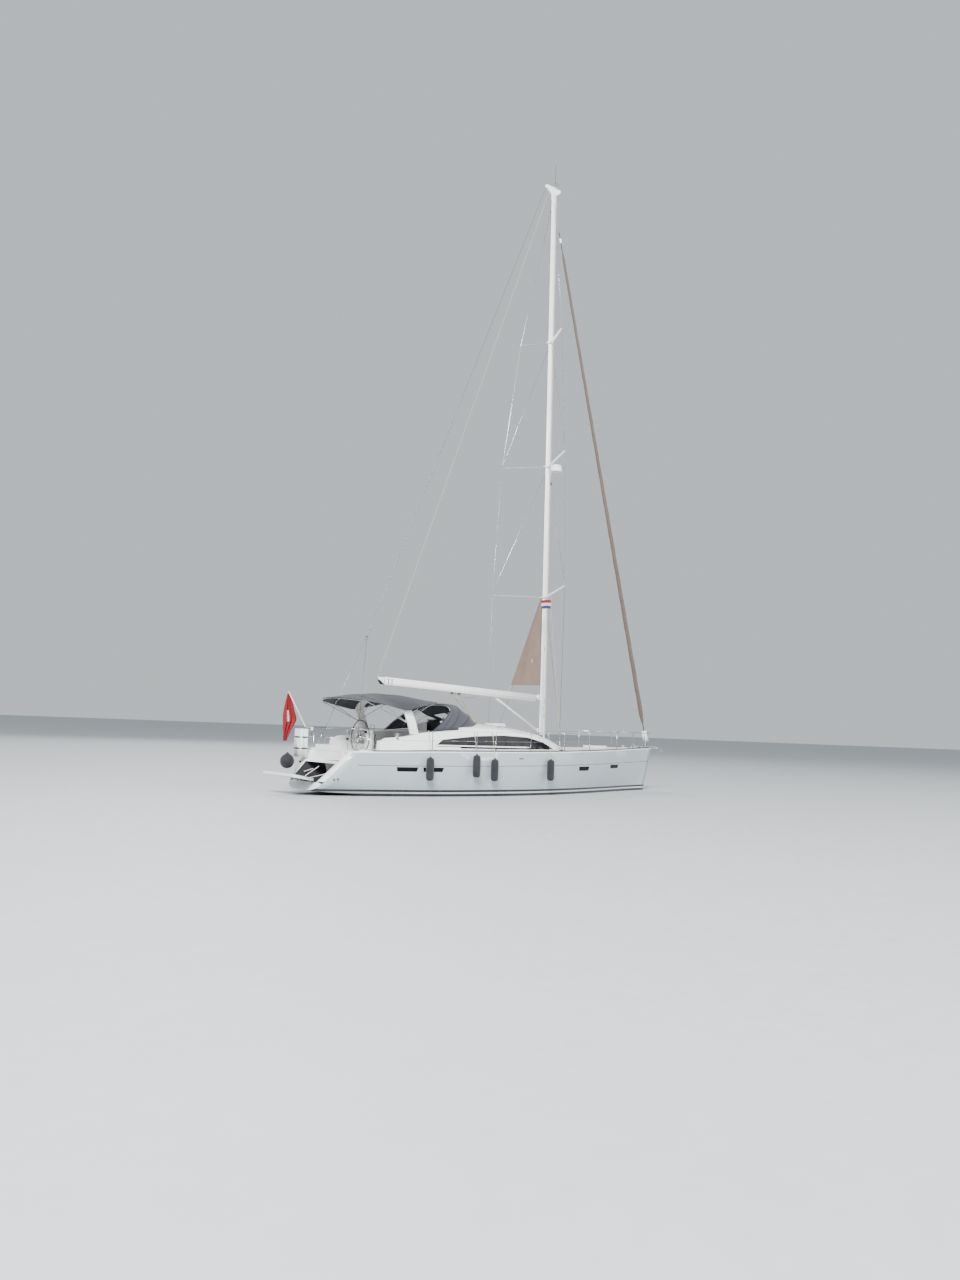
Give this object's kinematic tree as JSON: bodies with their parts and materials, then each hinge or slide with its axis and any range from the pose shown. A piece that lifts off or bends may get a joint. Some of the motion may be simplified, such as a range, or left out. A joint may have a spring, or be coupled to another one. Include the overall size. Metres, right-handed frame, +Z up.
{
  "type": "cruising sailing yacht",
  "caption": "Sloop-rigged cruising yacht afloat with whole hull, keel, rudder and propeller, swinging boom, furled sails, canopied cockpit and fold-down stern platform",
  "frame": {"origin": "on the waterline and the centreline, below the mast's foot", "axes": "+X forward to the bow, +Y to port, +Z up along the mast"},
  "size_m": [16.6842, 4.3501, 25.3305],
  "materials": {
    "gelcoat_topsides": "gloss",
    "gelcoat_white": "gloss",
    "tinted_glazing": "gloss",
    "antifouling": "matt",
    "propeller_bronze": "satin",
    "painted_alloy": "satin",
    "stainless_steel": "polished",
    "sun_strip_cloth": "matt",
    "acrylic_canvas": "matt",
    "flag_cloth": "matt",
    "fender_cover": "matt",
    "teak": "matt",
    "wheel_leather": "matt"
  },
  "bodies": {
    "yacht": {"hull": "gelcoat_topsides", "deck": "gelcoat_white", "deckhouse": "gelcoat_white", "side_window_port": "tinted_glazing", "side_window_starboard": "tinted_glazing", "washboard": "tinted_glazing", "cockpit": "gelcoat_white", "steering_pedestal": "gelcoat_white", "cockpit_table": "teak", "helm_seat_locker": "gelcoat_white", "keel": "antifouling", "saildrive": "antifouling", "mast": "painted_alloy", "masthead_crane": "painted_alloy", "spreaders_lower": "painted_alloy", "spreaders_middle": "painted_alloy", "spreaders_upper": "painted_alloy", "shrouds_port": "stainless_steel", "shrouds_starboard": "stainless_steel", "backstay": "stainless_steel", "furled_genoa": "sun_strip_cloth", "furler_drum": "gelcoat_white", "radar": "gelcoat_white", "lifelines_port": "stainless_steel", "lifelines_starboard": "stainless_steel", "pushpit_port": "stainless_steel", "pushpit_starboard": "stainless_steel", "winch_port": "stainless_steel", "winch_starboard": "stainless_steel", "pulpit": "stainless_steel", "bow_roller": "stainless_steel", "anchor": "stainless_steel", "liferaft": "gelcoat_white", "ensign_staff": "teak", "ensign": "flag_cloth", "bimini_canopy": "acrylic_canvas", "bimini_arch": "gelcoat_white", "sprayhood": "acrylic_canvas", "fender_1": "fender_cover", "fender_2": "fender_cover", "fender_3": "fender_cover", "fender_4": "fender_cover", "ball_fender": "fender_cover"},
    "boom": {"boom": "painted_alloy", "boom_vang": "painted_alloy", "mainsail_clew": "sun_strip_cloth"},
    "steering_wheel": {"steering_wheel": "wheel_leather"},
    "rudder": {"rudder": "antifouling"},
    "propeller": {"propeller": "propeller_bronze"},
    "transom_platform": {"transom_platform": "gelcoat_white"},
    "foredeck_hatch": {"foredeck_hatch": "tinted_glazing"},
    "saloon_hatch": {"saloon_hatch": "tinted_glazing"},
    "helm_seat_lid": {"helm_seat_lid": "gelcoat_white"},
    "companionway_hatch": {"companionway_hatch": "gelcoat_white"}
  },
  "joints": [
    {"name": "boom_swing", "type": "hinge", "parent": "yacht", "child": "boom", "pos_m": [-0.22919, 0, 3.29], "axis": [-0.011, 0, 0.9999], "range_deg": [-60, 60]},
    {"name": "wheel_turn", "type": "hinge", "parent": "yacht", "child": "steering_wheel", "pos_m": [-7.46, 0, 1.7], "axis": [1, 0, 0], "range_deg": [-280, 280]},
    {"name": "rudder_turn", "type": "hinge", "parent": "yacht", "child": "rudder", "pos_m": [-7.45, 0, 0], "axis": [0, 0, 1], "range_deg": [-35, 35]},
    {"name": "propeller_spin", "type": "hinge", "parent": "yacht", "child": "propeller", "pos_m": [-5.01, 0, -0.93], "axis": [1, 0, 0], "continuous": true},
    {"name": "platform_fold", "type": "hinge", "parent": "yacht", "child": "transom_platform", "pos_m": [-9.25, 0, 0.45], "axis": [0, 1, 0], "range_deg": [0, 119.5]},
    {"name": "foredeck_hatch_lift", "type": "hinge", "parent": "yacht", "child": "foredeck_hatch", "pos_m": [2.97, 0, 1.62699], "axis": [0, 1, 0], "range_deg": [0, 100]},
    {"name": "saloon_hatch_lift", "type": "hinge", "parent": "yacht", "child": "saloon_hatch", "pos_m": [-1.89, 0, 2.28268], "axis": [0, 1, 0], "range_deg": [0, 100]},
    {"name": "helm_seat_lift", "type": "hinge", "parent": "yacht", "child": "helm_seat_lid", "pos_m": [-8.088, 0, 1.287], "axis": [0, 1, 0], "range_deg": [0, 90]},
    {"name": "companionway_slide", "type": "slide", "parent": "yacht", "child": "companionway_hatch", "axis": [1, 0, 0], "range_m": [0, 0.54]}
  ],
  "couplings": [
    {"joint": "rudder_turn", "follows": "wheel_turn", "ratio": 0.125}
  ]
}
